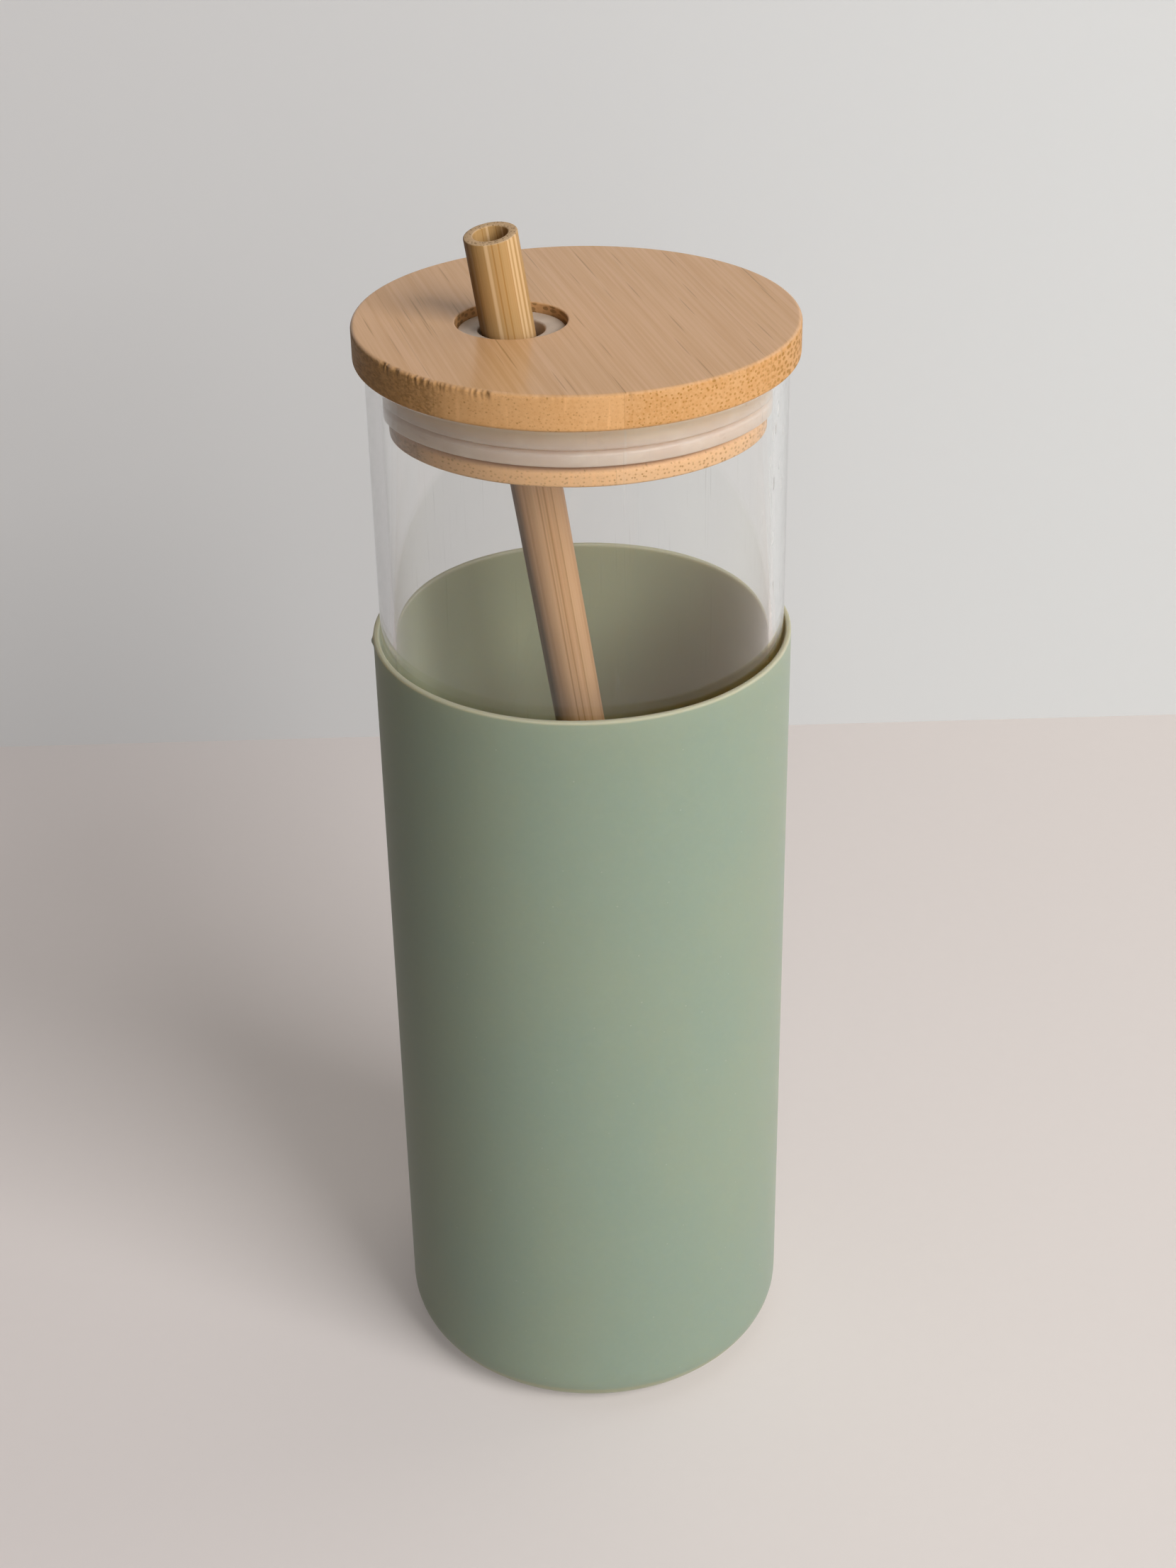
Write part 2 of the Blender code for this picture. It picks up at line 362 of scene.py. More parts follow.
def sleeveFinish(outer, top):
    finish = Finish("sageSilicone")
    spot = finish.place()
    height = spot.part("Z")
    shallow, deep = sleeve["skin"]
    inside = finish.span(finish.place(anyHeight)).rise(outer - shallow, outer - deep)
    patches = finish.cloud(finish.place((26, 26, 40)), 3)
    mottle = finish.cloud(finish.place((1.4, 1.4, 1.4)), 4)
    speck = finish.cells(finish.place((3.4, 3.4, 3.4))).rise(0.06, 0.03)
    rimLow, rimHigh = sleeve["rimDepth"]
    edge = height.rise(top - rimLow, top - rimHigh)
    paintedRimGlow = height.rise(top - sleeve["paintedRimGlowDepth"], top)
    colour = finish.mix(patches.rise(0.35, 0.65), sleeve["sage"], sleeve["dusk"])
    colour = finish.mix(mottle.rise(0.4, 0.75) * 0.10, colour, sleeve["mottle"])
    # painted light: lighter towards the rim, for light coming through the silicone
    colour = finish.mix(paintedRimGlow * 0.12, colour, sleeve["paintedRimGlow"])
    # painted light: the inside of the sleeve is lighter and warmer, for light coming through its wall
    colour = finish.mix(inside * 0.42, colour, sleeve["paintedInnerGlow"])
    colour = finish.mix(speck * 0.30, colour, sleeve["speck"])
    colour = finish.mix(edge, colour, sleeve["rim"])
    skin = finish.cloud(finish.place((0.22, 0.22, 0.22)), 2)
    shader = finish.principled(
        Base_Color=colour,
        Roughness=mottle * 0.12 + (sleeve["roughness"] - 0.06),
        Normal=finish.bump(skin, 0.02 * mm, 0.35),
        Subsurface_Weight=0.8,
        Subsurface_Radius=sleeve["scatter"],
        Subsurface_Scale=1.0,
        Sheen_Weight=0.2,
        Sheen_Roughness=0.35,
        Specular_IOR_Level=0.3,
    )
    return finish.wear(shader)


def makeSleeve():
    outer, low, high = reach("silicone_sleeve")
    inner, floor = outer - sleeve["wall"], low + sleeve["base"]
    fine, fineRows = sleeve["fineRows"]
    first, last = low + sleeve["firstRow"] * sleeve["heel"], high - fine
    rows = int((last - first) / sleeve["rowStep"])
    heights = [first + (last - first) * row / rows for row in range(rows)]
    heights += [last + fine * row / fineRows for row in range(fineRows - 1)]
    corners = [(0, low, 0), (outer, low, sleeve["heel"])]
    corners += [(outer, height, 0) for height in heights]
    flare, depth = sleeve["flare"]
    corners += [(outer, high, sleeve["lip"]), (inner + flare, high, sleeve["lip"])]
    corners += [(inner, height, 0) for height in reversed(heights) if height < high - depth]
    corners += [(inner, floor, sleeve["heel"] - sleeve["wall"]), (0, floor, 0)]
    outline = easedOutline(corners, False, sleeve["arcSteps"])
    mesh = turned("sleeve", outline, False, sleeveFinish(outer, high), sleeve["segments"])
    nubTurn, nubDepth = sleeve["nubAt"]
    for vertex in mesh.vertices:  # the soft rim wanders a little, and the mould left a nub
        spot = vertex.co / mm
        near = max(0.0, 1 - (high - spot.z) / sleeve["sagReach"])
        wander = noise.noise(Vector((spot.x, spot.y, 0)) * sleeve["sagScale"]) * sleeve["sag"]
        vertex.co.z -= (sleeve["sag"] * sleeve["sagMean"] + wander) * near * near * mm
        turn = atan2(spot.y, spot.x) - nubTurn
        turn = (turn + pi) % (2 * pi) - pi
        span = sqrt((turn * outer) ** 2 + (high - nubDepth - spot.z) ** 2) / sleeve["nubSpread"]
        swell = sleeve["nubRise"] * exp(-span * span)
        if spot.xy.length > outer - sleeve["skin"][0] and swell > sleeve["nubLeast"]:
            vertex.co.xy += spot.xy.normalized() * swell * mm
    addPiece("sleeve", mesh, "tumbler", "silicone_sleeve")


# Glass

glass = {
    "wall": 2.6,
    "base": 6.0,
    "heel": 6.8,
    "floorFillet": 3.0,
    "lip": 0.9,
    "segments": 256,
    "arcSteps": 8,
    "tint": ink(0.997, 1.0, 0.998),
    "shade": ink(0.97, 0.975, 0.97),  # what its shadow lets through
    "haze": ink(0.68, 0.66, 0.65),  # dust and dried drips
    "dripAt": -0.34,  # bearing of the drips in radians
    "dripSpread": (0.26, 0.06),  # they thin out between these to both sides
    "dripHeights": (160, 172),  # and downwards between these
}


def glassFinish():
    finish = Finish("clearGlass")
    spot = finish.place()
    runs = finish.cloud(finish.place((0.5, 0.5, 26)), 3, 0.6)
    film = finish.cloud(finish.place((14, 14, 22)), 2)
    aside = (spot.bearing() - glass["dripAt"]).size()
    dripped = aside.rise(*glass["dripSpread"]) * spot.part("Z").rise(*glass["dripHeights"])
    drips = finish.cells(finish.place((2.4, 2.4, 11))).rise(0.17, 0.08) * dripped
    dust = runs.rise(0.62, 0.78) * film.rise(0.42, 0.62) * 0.10 + drips * 0.4
    clear = finish.principled(Base_Color=glass["tint"], Roughness=0.0, IOR=1.5, Transmission_Weight=1.0)
    haze = finish.principled(Base_Color=glass["haze"], Roughness=0.8)
    look = finish.blend(dust, clear, haze)
    lit = finish.node("ShaderNodeBsdfTransparent", {}, {"Color": glass["shade"]})
    for ray in ("Is Diffuse Ray", "Is Shadow Ray"):  # light goes through once, unbent
        look = finish.blend(finish.node("ShaderNodeLightPath", out=ray), look, lit)
    return finish.wear(look)


def makeGlass():
    outer, low, high = reach("glass_tumbler")
    inner = outer - glass["wall"]
    corners = [
        (0, low, 0),
        (outer, low, glass["heel"]),
        (outer, high, glass["lip"]),
        (inner, high, glass["lip"]),
        (inner, low + glass["base"], glass["floorFillet"]),
        (0, low + glass["base"], 0),
    ]
    outline = easedOutline(corners, False, glass["arcSteps"])
    mesh = turned("glass", outline, False, glassFinish(), glass["segments"])
    addPiece("glass", mesh, "tumbler", "glass_tumbler")


# Bamboo of the lid

board = {
    "grain": radians(105),  # the way the fibres run
    "strip": 28.0,  # width of the glued strips
    "firstJoint": 2.7,  # the strips' joints, across the grain
    "darkJoint": 30.7,
    "coarseJoint": -25.3,
    "boreReach": (10.3, 9.9),  # from the straw hole's axis, where its wall begins
    "pale": ink(0.718, 0.427, 0.231),  # the flat
    "warm": ink(0.634, 0.359, 0.167),
    "rimPale": ink(0.660, 0.365, 0.160),
    "rimWarm": ink(0.590, 0.305, 0.115),
    "bloom": ink(0.700, 0.420, 0.215),
    "honey": ink(0.790, 0.450, 0.210),  # the rim's smooth strip
    "cream": ink(0.800, 0.500, 0.275),  # the plug is paler
    "line": ink(0.330, 0.175, 0.050),
    "pore": ink(0.390, 0.195, 0.045),
    "umber": ink(0.200, 0.110, 0.038),
}


def boardFinish(name, slip, cream):
    finish = Finish(name)

    def grainAt(along, across, height=None):
        return finish.place((along, across, height or across), (0, 0, slip * mm), (0, 0, board["grain"]))

    def endAt(across, height):  # the plane that the fibres go through
        return finish.place((across, height, 1), (0, 0, slip * mm), (pi / 2, 0, board["grain"] + pi / 2))

    across = grainAt(1, 1).part("Y")
    facing = finish.node("ShaderNodeNewGeometry", out="Normal").part("Z").size()
    side = facing.rise(0.85, 0.35)  # 1 on the rim, 0 on the flat
    strip = (across - board["firstJoint"]) / board["strip"]
    tone = finish.node("ShaderNodeTexWhiteNoise", {"noise_dimensions": "1D"}, {"W": strip.whole()}, "Value")
    seam = (strip - strip.whole() - 0.5).size().rise(0.4965, 0.5)
    smooth = across.rise(board["firstJoint"] - 0.2, board["firstJoint"] + 0.2)
    coarse = across.rise(board["coarseJoint"] + 4, board["coarseJoint"] - 4)
    dark = across.rise(board["darkJoint"] - 2, board["darkJoint"] + 1)

    # vascular bundles, cut across on the rim and lengthwise on the flat
    bundle = across.rise(board["firstJoint"], board["coarseJoint"]) * 0.10 + 0.22
    small = finish.cells(endAt(0.92, 0.86), 0.75, "2D").rise(bundle, bundle * 0.55)
    large = finish.cells(endAt(1.2, 1.0), 0.75, "2D").rise(0.38, 0.24)
    faint = finish.cloud(grainAt(30, 2.4), 2).rise(0.35, 0.65)
    kept = 1 - smooth * (0.7 - cream * 0.6)  # the smooth strip shows few
    dots = (small * (faint * 0.5 + 0.5) * (1 - coarse) + large * coarse) * kept
    dashes = finish.cells(grainAt(80, 1.5)).rise(0.15, 0.06)
    ticks = finish.cells(grainAt(36, 1.05)).rise(0.18, 0.08)
    fine = finish.cloud(grainAt(22, 0.13), 3)
    medium = finish.cloud(grainAt(45, 0.7), 3)
    broad = finish.cloud(grainAt(80, 7), 2)
    streak = finish.cloud(grainAt(60, 0.9, 8), 2).rise(0.52, 0.72)
    mottle = finish.cloud(grainAt(1.3, 0.5), 3).rise(0.36, 0.66)
    chip = finish.node("ShaderNodeAttribute", {"attribute_name": "chip"}, {}, "Fac")
    holeAt = finish.place(anyHeight, holeCentre() * mm)

    flat = finish.mix(medium.rise(0.3, 0.7), board["pale"], board["warm"])
    colour = finish.mix(side, flat, finish.mix(medium.rise(0.3, 0.7), board["rimPale"], board["rimWarm"]))
    colour = finish.mix(broad.rise(0.35, 0.65) * 0.3, colour, board["bloom"])
    colour = finish.mix(cream, colour, board["cream"])
    colour = finish.mix(tone * 0.14, colour, board["line"])
    colour = finish.mix(side * smooth * (streak * 0.4 + 0.4), colour, board["honey"])
    colour = finish.mix(fine.rise(0.5, 0.78) * 0.24, colour, board["line"])
    colour = finish.mix(dashes * 0.6, colour, board["line"])
    colour = finish.mix(ticks * 0.5, colour, board["line"])
    colour = finish.mix(dots * (side * 0.85 + 0.04), colour, board["pore"])
    # the rim's dark strip: its mottling is the bamboo's, its overall darkness partly painted shade
    colour = finish.mix(dark * side * (mottle * 0.3 + 0.27), colour, board["umber"])
    colour = finish.mix(seam * 0.35, colour, board["line"])
    # the straw hole's wall: its pores are dark, over painted shade all round
    bore = finish.span(holeAt).rise(*board["boreReach"]) * side
    colour = finish.mix(bore * (large * 0.5 + 0.2), colour, board["umber"])
    # the bites are coloured darker
    colour = finish.mix(chip * 0.7, colour, board["umber"])
    relief = fine * 0.25 + medium * 0.3 - dots * side * 0.7 - dashes * 0.4 - mottle * dark * side
    shader = finish.principled(
        Base_Color=colour,
        Roughness=medium * 0.16 + side * 0.12 + 0.32,
        Normal=finish.bump(relief, 0.06 * mm, 0.5),
        Coat_Weight=0.5 - side * 0.45 - fine * 0.1,
        Coat_Roughness=0.2,
        Coat_IOR=1.5,
        IOR=1.2,
    )
    return finish.wear(shader)


# Lid disc

disc = {
    "edge": 0.7,
    "holeGap": 0.3,
    "holeEdge": 0.3,
    "columns": 1200,
    "arcSteps": 8,
    "holeSteps": 4,
    "rows": 5,  # up the rim
    "rowsClear": 2.1,  # they stay this many edges away from its ends
    "bridge": 3,  # rows between the hole and the rim
    "slip": 0,  # shifts the grain
    "cream": 0.0,
    "chipSeed": 11,
    # bites out of the top edge: how many, bearings in degrees, how deep and how wide
    "chips": (42, (-147, -112), (0.08, 0.48), (0.25, 0.7)),
    "nicks": (12, (-100, -20), (0.06, 0.18), (0.3, 0.8)),
    "chipReach": (1.5, 0.75),  # down the rim, and in over the top
    "chipFall": 0.8,  # how far down for each millimetre in
    "chipStain": 3.2,
    "ragged": (0.7, 0.6, 2.2),  # mean, spread and fineness of a bite's unevenness
}


def holeCentre():
    low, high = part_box("straw_grommet")
    middle = (low + high) / 2 / mm
    return Vector((middle.x, middle.y, 0))


def holeOutline(radius, low, high, edge):
    flat = radius + runIn
    corners = [(flat, low, 0), (radius, low, edge), (radius, high, edge), (flat, high, 0)]
    return easedOutline(corners, False, disc["holeSteps"])[2:-2]


def chipEdge(mesh, outer, high):  # bites out of the top edge, and where they are
    draw = random.Random(disc["chipSeed"])
    bites = []
    for count, bearings, deep, wide in (disc["chips"], disc["nicks"]):
        for bite in range(count):
            bites.append((draw.uniform(*bearings), draw.uniform(*deep), draw.uniform(*wide)))
    down, inwards = disc["chipReach"]
    mean, spread, fineness = disc["ragged"]
    worn = mesh.attributes.new("chip", "FLOAT", "POINT")
    for vertex in mesh.vertices:
        spot = vertex.co / mm
        below, inside = high - spot.z, outer - spot.xy.length
        near = 1 - below / down - inside / inwards
        if near < 0:
            continue
        turn = degrees(atan2(spot.y, spot.x))
        depth = 0.0
        for middle, deep, wide in bites:
            off = radians(turn - middle) * outer / wide
            if abs(off) < 1:
                depth = max(depth, deep * (1 - off * off))
        if depth:
            ragged = mean + spread * noise.noise(spot * fineness)
            shift = depth * near * ragged
            vertex.co.xy -= spot.xy.normalized() * shift * mm
            vertex.co.z -= shift * disc["chipFall"] * mm
            worn.data[vertex.index].value = min(1.0, depth * near * disc["chipStain"])


def makeDisc():
    outer, low, high = reach("lid_disc")
    clear = disc["rowsClear"] * disc["edge"]
    rows = [high - clear - (high - low - 2 * clear) * row / disc["rows"] for row in range(disc["rows"] + 1)]
    corners = [(outer - runIn, high, 0), (outer, high, disc["edge"])]
    corners += [(outer, height, 0) for height in rows]
    corners += [(outer, low, disc["edge"]), (outer - runIn, low, 0)]
    hole = reach("straw_grommet")[0] + disc["holeGap"]
    mesh = bored(
        "lidDisc",
        easedOutline(corners, False, disc["arcSteps"])[2:-2],
        holeOutline(hole, low, high, disc["holeEdge"]),
        holeCentre(),
        boardFinish("paleBamboo", disc["slip"], disc["cream"]),
        disc["columns"],
        disc["bridge"],
    )
    chipEdge(mesh, outer, high)
    addPiece("lidDisc", mesh, "lid", "lid_disc")


# Plug under the disc

plug = {
    "neck": 30.5,
    "flange": 3.1,  # how thick it is
    "topEdge": 1.1,
    "edge": 0.55,
    "hole": 8.27,
    "columns": 360,
    "bridge": 8,
    "slip": 5,  # its grain isn't the disc's
    "cream": 0.6,
}


def makePlug():
    outer, low, high = reach("lid_plug")
    top = low + plug["flange"]
    corners = [
        (plug["neck"], high, 0),
        (plug["neck"], top, 0),
        (outer, top, plug["topEdge"]),
        (outer, low, plug["edge"]),
        (outer - runIn, low, 0),
    ]
    mesh = bored(
        "lidPlug",
        easedOutline(corners, False)[:-2],
        holeOutline(plug["hole"], low, high, disc["holeEdge"]),
        holeCentre(),
        boardFinish("plugBamboo", plug["slip"], plug["cream"]),
        plug["columns"],
        plug["bridge"],
    )
    addPiece("lidPlug", mesh, "lid", "lid_plug")


# Seal

seal = {
    "bore": 30.8,
    "lowerRib": 2.7,
    "notch": 0.9,
    "round": 0.5,
    "segments": 256,
    "mouldLine": -1.352,  # its bearing in radians
    "milk": (ink(0.65, 0.49, 0.40), ink(0.72, 0.56, 0.46)),
    "paintedUpperGlow": ink(0.93, 0.63, 0.40),  # painted light: the upper rib is coloured lighter and warmer, for light tinted by the bamboo behind it, where the disc shades it
    "band": ink(0.66, 0.56, 0.49),
    "mould": ink(0.70, 0.61, 0.54),
    "scatter": (0.009, 0.008, 0.0065),
}


def sealFinish(notch, high):
    finish = Finish("frostedSilicone")
    spot = finish.place()
    haze = finish.cloud(finish.place((5, 5, 3)), 3)
    bands = finish.cloud(finish.place((60, 60, 0.5)), 2)
    skin = finish.cloud(finish.place((0.5, 0.5, 0.5)), 2)
    upper = spot.part("Z").rise(notch - 0.1, high)
    mould = (spot.bearing() - seal["mouldLine"]).size().rise(0.008, 0.003)
    colour = finish.mix(haze.rise(0.35, 0.7), *seal["milk"])
    # painted light: the upper rib is made lighter and warmer
    colour = finish.mix(upper * 0.8, colour, seal["paintedUpperGlow"])
    colour = finish.mix(bands.rise(0.5, 0.7) * 0.25, colour, seal["band"])
    colour = finish.mix(mould * 0.3, colour, seal["mould"])
    shader = finish.principled(
        Base_Color=colour,
        Roughness=haze * 0.2 + 0.22,
        Normal=finish.bump(skin, 0.01 * mm, 0.3),
        Subsurface_Weight=1.0,
        Subsurface_Radius=seal["scatter"],
        Subsurface_Scale=1.0,
        Specular_IOR_Level=0.25,
    )
    return finish.wear(shader)


def makeSeal():
    tip, low, high = reach("lid_seal")
    notch = low + seal["lowerRib"]
    corners = [
        (seal["bore"], low, 0),
        (tip, low, seal["round"]),
        (tip, notch - seal["notch"] / 2, seal["round"]),
        (tip - seal["notch"], notch, 0),
        (tip, notch + seal["notch"] / 2, seal["round"]),
        (tip, high, seal["round"]),
        (seal["bore"], high, 0),
    ]
    mesh = turned("lidSeal", easedOutline(corners, True), True, sealFinish(notch, high), seal["segments"])
    addPiece("lidSeal", mesh, "seal", "lid_seal")


# Grommet

grommet = {
    "wall": 3.7,
    "edge": 0.45,
    "segments": 128,
    "milk": (ink(0.50, 0.40, 0.315), ink(0.58, 0.47, 0.38)),
    "scatter": (0.003, 0.002, 0.0015),
}


def grommetFinish():
    finish = Finish("milkySilicone")
    haze = finish.cloud(finish.place((3, 3, 3)), 3)
    skin = finish.cloud(finish.place((0.3, 0.3, 0.3)), 2)
    colour = finish.mix(haze.rise(0.35, 0.7), *grommet["milk"])
    shader = finish.principled(
        Base_Color=colour,
        Roughness=haze * 0.2 + 0.35,
        Normal=finish.bump(skin, 0.01 * mm, 0.4),
        Subsurface_Weight=0.2,
        Subsurface_Radius=grommet["scatter"],
        Subsurface_Scale=0.3,
    )
    return finish.wear(shader)


def makeGrommet():
    outer, low, high = reach("straw_grommet")
    bore = outer - grommet["wall"]
    corners = [
        (bore, low, grommet["edge"]),
        (outer, low, grommet["edge"]),
        (outer, high, grommet["edge"]),
        (bore, high, grommet["edge"]),
    ]
    mesh = turned("strawGrommet", easedOutline(corners, True), True, grommetFinish(), grommet["segments"])
    mesh.transform(Matrix.Translation(holeCentre() * mm))
    addPiece("strawGrommet", mesh, "lid", "straw_grommet")


# Straw

straw = {
    "radius": 4.64,
    "wall": 1.67,
    "edge": 0.25,
    "segments": 128,
    "arcSteps": 4,
    "rows": 90,
    "unround": 0.07,  # how far it swells and shrinks
    "unroundScale": (0.18, 0.012),  # across and along
    "threads": [-2.75, -1.52, -1.28, -0.94, 0.5, 1.3, 2.1],  # bearings of the long brown lines
    "pales": [-2.45, -1.74, -0.90, -0.70, -0.45, 0.9, 1.8],  # and of the pale streaks
    "tan": ink(0.660, 0.385, 0.205),
    "cane": ink(0.560, 0.305, 0.140),
    "gold": ink(0.450, 0.285, 0.110),
    "olive": ink(0.330, 0.205, 0.055),
    "straw": ink(0.720, 0.500, 0.280),
    "thread": ink(0.370, 0.185, 0.045),
    # dark of the cut end's pores, and painted shade down the straw's left side
    "poreDarkAndPaintedShade": ink(0.150, 0.085, 0.035),
    "cut": ink(0.62, 0.44, 0.28),  # the sawn end
}


def strawStance():  # foot, turn and length, from the node's box and its slide's axis
    slide = next(joint for joint in frame["joints"] if joint["name"] == "straw_slide")
    axis = Vector(slide["axis"]).normalized()
    low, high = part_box("bamboo_straw")
    spread = 2 * straw["radius"] * mm * sqrt(1 - axis.z**2)
    length = (high.z - low.z - spread) / axis.z
    turn = Vector((0, 0, 1)).rotation_difference(axis).to_matrix()
    return (low + high) / 2 - axis * length / 2, turn, length


def strawFinish(foot, turn, top):
    finish = Finish("goldenBamboo")

    def caneAt(along, around):
        return finish.place((around, around, along), foot, turn.to_euler())

    spot = caneAt(1, 1)
    along = spot.part("Z")
    drift = finish.cloud(caneAt(60, 9), 2) * 0.16 - 0.08
    bearing = spot.bearing() + drift
    threads = sum((bearing - line).size().rise(0.045, 0.012) for line in straw["threads"])
    pales = sum((bearing - line).size().rise(0.10, 0.03) for line in straw["pales"])
    fine = finish.cloud(caneAt(40, 0.14), 3)
    medium = finish.cloud(caneAt(90, 0.9), 3)
    shadeMottle = finish.cloud(caneAt(16, 0.8), 3)
    shown = along.rise(top - 27, top - 15)  # what stands above the lid is more golden
    cut = along.rise(top - 0.14, top - 0.02)
    pore = finish.cells(caneAt(20, 0.5)).rise(0.36, 0.2)
    paintedShadeSide = spot.part("X").rise(-2.6, -3.9)  # painted shade on the side that faces left, away from the window
    colour = finish.mix(medium.rise(0.3, 0.7), straw["tan"], straw["cane"])
    colour = finish.mix(shown * 0.75, colour, straw["gold"])
    colour = finish.mix(fine.rise(0.5, 0.75) * 0.35, colour, straw["olive"])
    colour = finish.mix(pales * (shown * 0.7 + 0.12), colour, straw["straw"])
    colour = finish.mix(threads * 0.62, colour, straw["thread"])
    # painted shade down the straw's left side, broken up a little
    colour = finish.mix(paintedShadeSide * (shadeMottle.rise(0.3, 0.7) * 0.3 + 0.5), colour, straw["poreDarkAndPaintedShade"])
    colour = finish.mix(cut * 0.75, colour, straw["cut"])
    colour = finish.mix(cut * pore * 0.7, colour, straw["poreDarkAndPaintedShade"])
    relief = fine * 0.5 + medium - threads * 0.8 - cut * pore
    shader = finish.principled(
        Base_Color=colour,
        Roughness=medium * 0.15 + 0.34 + cut * 0.3,
        Normal=finish.bump(relief, 0.05 * mm, 0.5),
        Coat_Weight=0.08 - cut * 0.08,
        Coat_Roughness=0.25,
        IOR=1.22,
        Specular_IOR_Level=0.2,
    )
    return finish.wear(shader)


def makeStraw():
    foot, turn, length = strawStance()
    bore, top = straw["radius"] - straw["wall"], length / mm
    heights = [top * row / straw["rows"] for row in range(1, straw["rows"])]
    corners = [(bore, 0, straw["edge"]), (straw["radius"], 0, straw["edge"])]
    corners += [(straw["radius"], height, 0) for height in heights]
    corners += [(straw["radius"], top, straw["edge"]), (bore, top, straw["edge"])]
    corners += [(bore, height, 0) for height in reversed(heights)]
    outline = easedOutline(corners, True, straw["arcSteps"])
    mesh = turned("bambooStraw", outline, True, strawFinish(foot, turn, top), straw["segments"])
    across, along = straw["unroundScale"]
    for vertex in mesh.vertices:  # cane is never quite round
        spot = vertex.co / mm
        swell = noise.noise(Vector((spot.x * across, spot.y * across, spot.z * along))) * straw["unround"]
        vertex.co.xy *= 1 + swell / straw["radius"]
    mesh.transform(Matrix.Translation(foot) @ turn.to_4x4())
    addPiece("bambooStraw", mesh, "straw", "bamboo_straw")


# Stage, lamps and camera

stage = {
    "wallAt": 0.250,
    "wallTurn": radians(1.0),
    "span": 2.4,
    "paintedFalloffSpan": (-260, 200),  # millimetres, between which the painted darker left gives way to the right
    "dimFrom": (450, 1300),  # millimetres away
    "floor": (ink(0.685, 0.632, 0.620), ink(0.71, 0.66, 0.642)),  # left and right; the left is painted darker, as shade where the light falls off
    # the wall's left is painted darker too, as shade
    "wall": (ink(0.552, 0.542, 0.546), ink(0.59, 0.597, 0.605)),
    "fleck": ink(0.6, 0.56, 0.53),
    "dim": ink(0.20, 0.19, 0.185),  # far off, where the paper comes near the lamps
    "glow": 0.2,  # the paper's own light, which is seen but lights nothing
    "floorBounce": (ink(0.26, 0.22, 0.17), ink(0.69, 0.64, 0.56)),  # what is thrown back on the object
    "wallBounce": (ink(0.08, 0.06, 0.03), ink(0.50, 0.48, 0.44)),
}


def stageFinish():
    finish = Finish("paper")
    grain = finish.cloud(finish.place((3, 3, 3)), 3)
    upright = finish.node("ShaderNodeNewGeometry", out="Normal").part("Z").rise(0.6, 0.4)
    spot = finish.place()
    # painted shade: floor and wall are coloured darker to the left, where the light falls off
    right = spot.part("X").rise(*stage["paintedFalloffSpan"])
    floor, wall = (finish.mix(right, *stage[name]) for name in ("floor", "wall"))
    floorBounce, wallBounce = (finish.mix(right, *stage[name]) for name in ("floorBounce", "wallBounce"))
    colour = finish.mix(upright, floor, wall)
    colour = finish.mix(grain.rise(0.2, 0.8) * 0.04, colour, stage["fleck"])
    colour = finish.mix(finish.span(spot).rise(*stage["dimFrom"]) * 0.75, colour, stage["dim"])
    seen, bounce = finish.seen(), finish.mix(upright, floorBounce, wallBounce)
    paper = finish.principled(
        Base_Color=finish.mix(seen, bounce, colour),
        Roughness=0.85,
        Specular_IOR_Level=0.2,
        Emission_Color=finish.mix(seen, ink(0, 0, 0), colour),
        Emission_Strength=stage["glow"],
    )
    behind = finish.node("ShaderNodeNewGeometry", out="Backfacing")  # the sweep has no back
    return finish.wear(finish.blend(behind, paper, finish.node("ShaderNodeBsdfTransparent")))


def makeStage():
    span, back = stage["span"], stage["wallAt"]
    profile = [(-span, 0), (back, 0), (back, span)]
    corners = [(across, depth, height) for depth, height in profile for across in (-span, span)]
    faces = [(2 * row, 2 * row + 1, 2 * row + 3, 2 * row + 2) for row in range(len(profile) - 1)]
    mesh = bpy.data.meshes.new("backdrop")
    mesh.from_pydata(corners, [], faces)
    mesh.transform(Matrix.Rotation(stage["wallTurn"], 4, "Z"))
    mesh.materials.append(stageFinish())
    sheet = bpy.data.objects.new("backdrop", mesh)
    bpy.context.collection.objects.link(sheet)


lamps = {
    # bearing and height in degrees, how far away, width and height, power, colour
    "window": (-46, 34, 2.4, (1.35, 1.4), 51, (1, 0.99, 0.985)),
    "front": (-77, 15, 2.4, (1.8, 1.8), 19, (1, 0.99, 0.97)),
    "ceiling": (90, 86, 1.9, (1.0, 1.0), 3.5, (1, 0.985, 0.97)),
    "aim": (0, 0, 0.1),  # what they point at
    "room": ink(0.010, 0.008, 0.004),  # the light that comes from all round
    "far": ink(0.52, 0.51, 0.50),  # what shows past the edge of the sweep
}


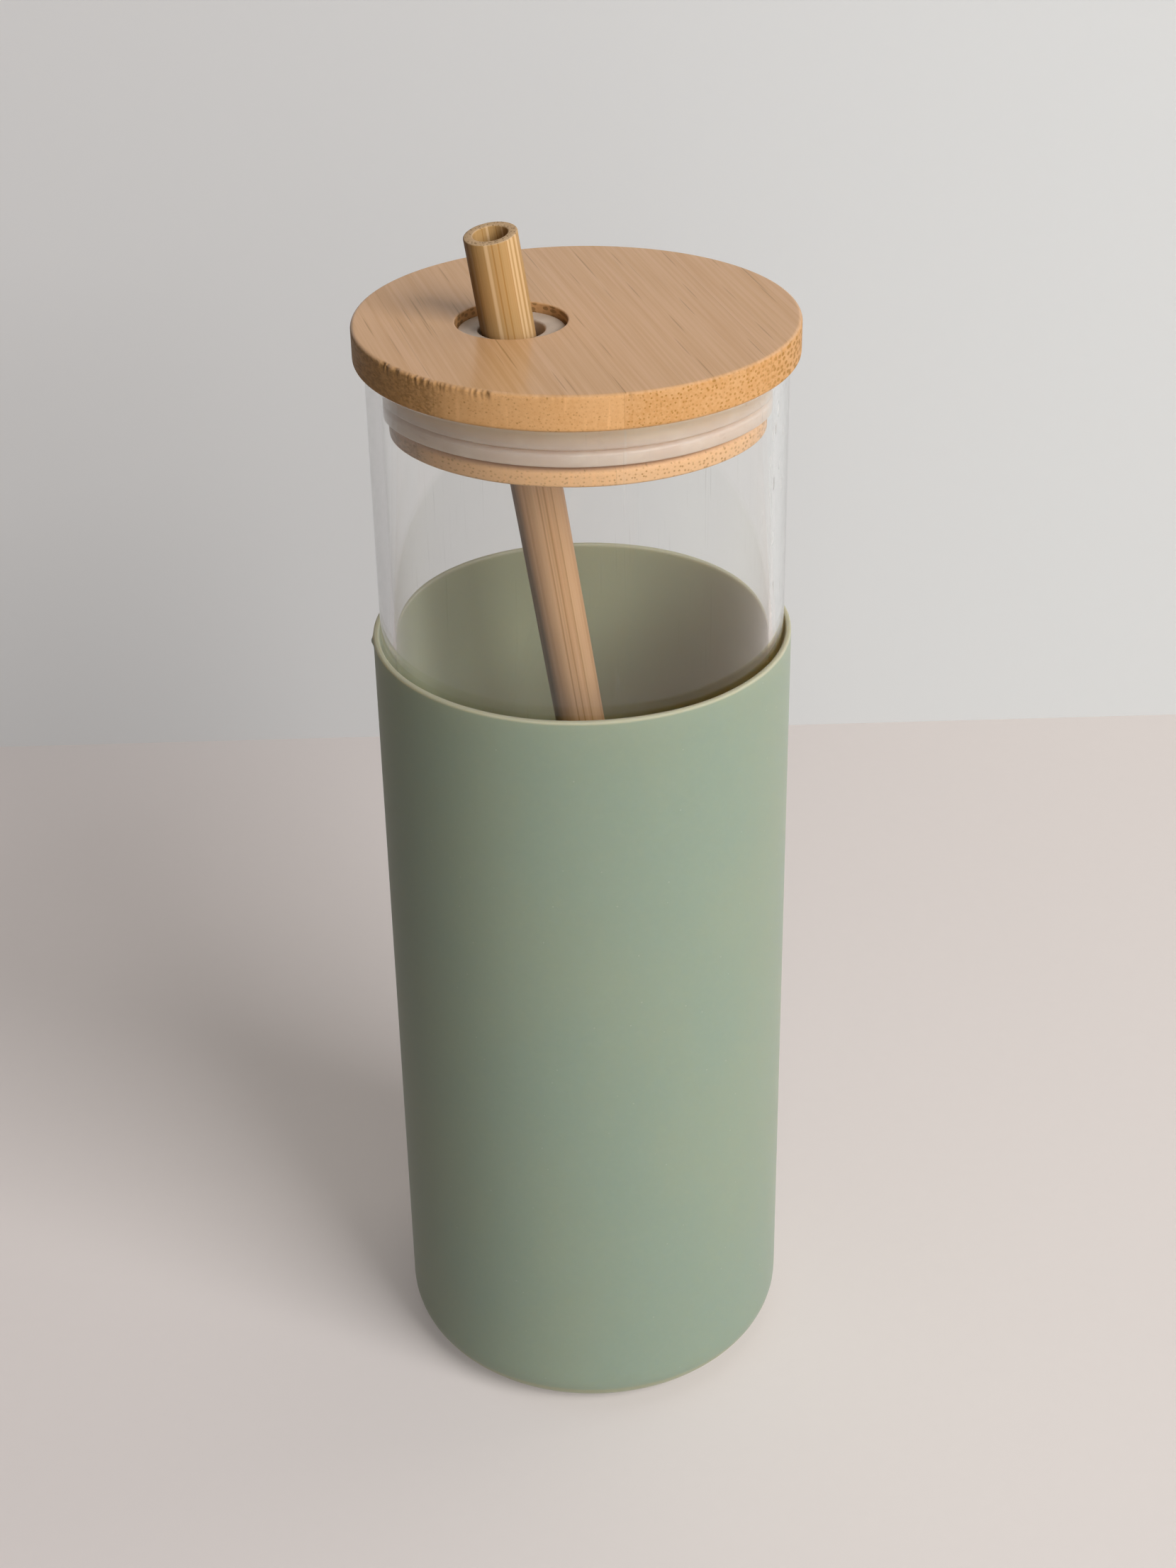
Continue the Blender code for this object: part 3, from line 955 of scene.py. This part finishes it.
def makeLamps():
    world = bpy.data.worlds.new("room")
    world.use_nodes = True
    world.node_tree.nodes.clear()
    sheet = Sheet(world.node_tree)
    room, far = (sheet.node("ShaderNodeBackground", {}, {"Color": lamps[name]}) for name in ("room", "far"))
    sky = sheet.node("ShaderNodeMixShader", {}, {0: sheet.seen(), 1: room, 2: far})
    sheet.node("ShaderNodeOutputWorld", {}, {"Surface": sky})
    bpy.context.scene.world = world
    for name in ("window", "front", "ceiling"):
        bearing, height, away, size, power, colour = lamps[name]
        bearing, height = radians(bearing), radians(height)
        towards = Vector((cos(bearing) * cos(height), sin(bearing) * cos(height), sin(height)))
        lamp = bpy.data.lights.new(name, "AREA")
        lamp.shape = "RECTANGLE"
        lamp.size, lamp.size_y = size
        lamp.energy = power
        lamp.color = colour
        holder = bpy.data.objects.new(name, lamp)
        place = Matrix.Translation(towards * away + Vector(lamps["aim"]))
        holder.matrix_world = place @ towards.to_track_quat("Z", "Y").to_matrix().to_4x4()
        holder.visible_glossy = False  # no glare on the lid from behind
        bpy.context.collection.objects.link(holder)


view = {
    "at": (0, -0.40933, 0.35973),
    "right": (0.99981369, -0.01060186, -0.01613016),
    "up": (0.0192672, 0.49772681, 0.86711983),
    "focalPixels": 3476.02,
    "framePixels": 2212,
    "sensor": 36.0,
    "nearest": 0.01,
}


def makeCamera():
    lens = bpy.data.cameras.new("camera")
    lens.sensor_fit = "VERTICAL"
    lens.sensor_height = view["sensor"]
    lens.lens = view["focalPixels"] * view["sensor"] / view["framePixels"]
    lens.clip_start = view["nearest"]
    camera = bpy.data.objects.new("camera", lens)
    right, up = Vector(view["right"]), Vector(view["up"])
    turn = Matrix((right, up, right.cross(up))).transposed().to_4x4()
    camera.matrix_world = Matrix.Translation(view["at"]) @ turn
    bpy.context.collection.objects.link(camera)
    bpy.context.scene.camera = camera


makeSleeve()
makeGlass()
makeDisc()
makePlug()
makeSeal()
makeGrommet()
makeStraw()
makeStage()
makeLamps()
makeCamera()
bpy.context.scene.view_settings.view_transform = "Standard"
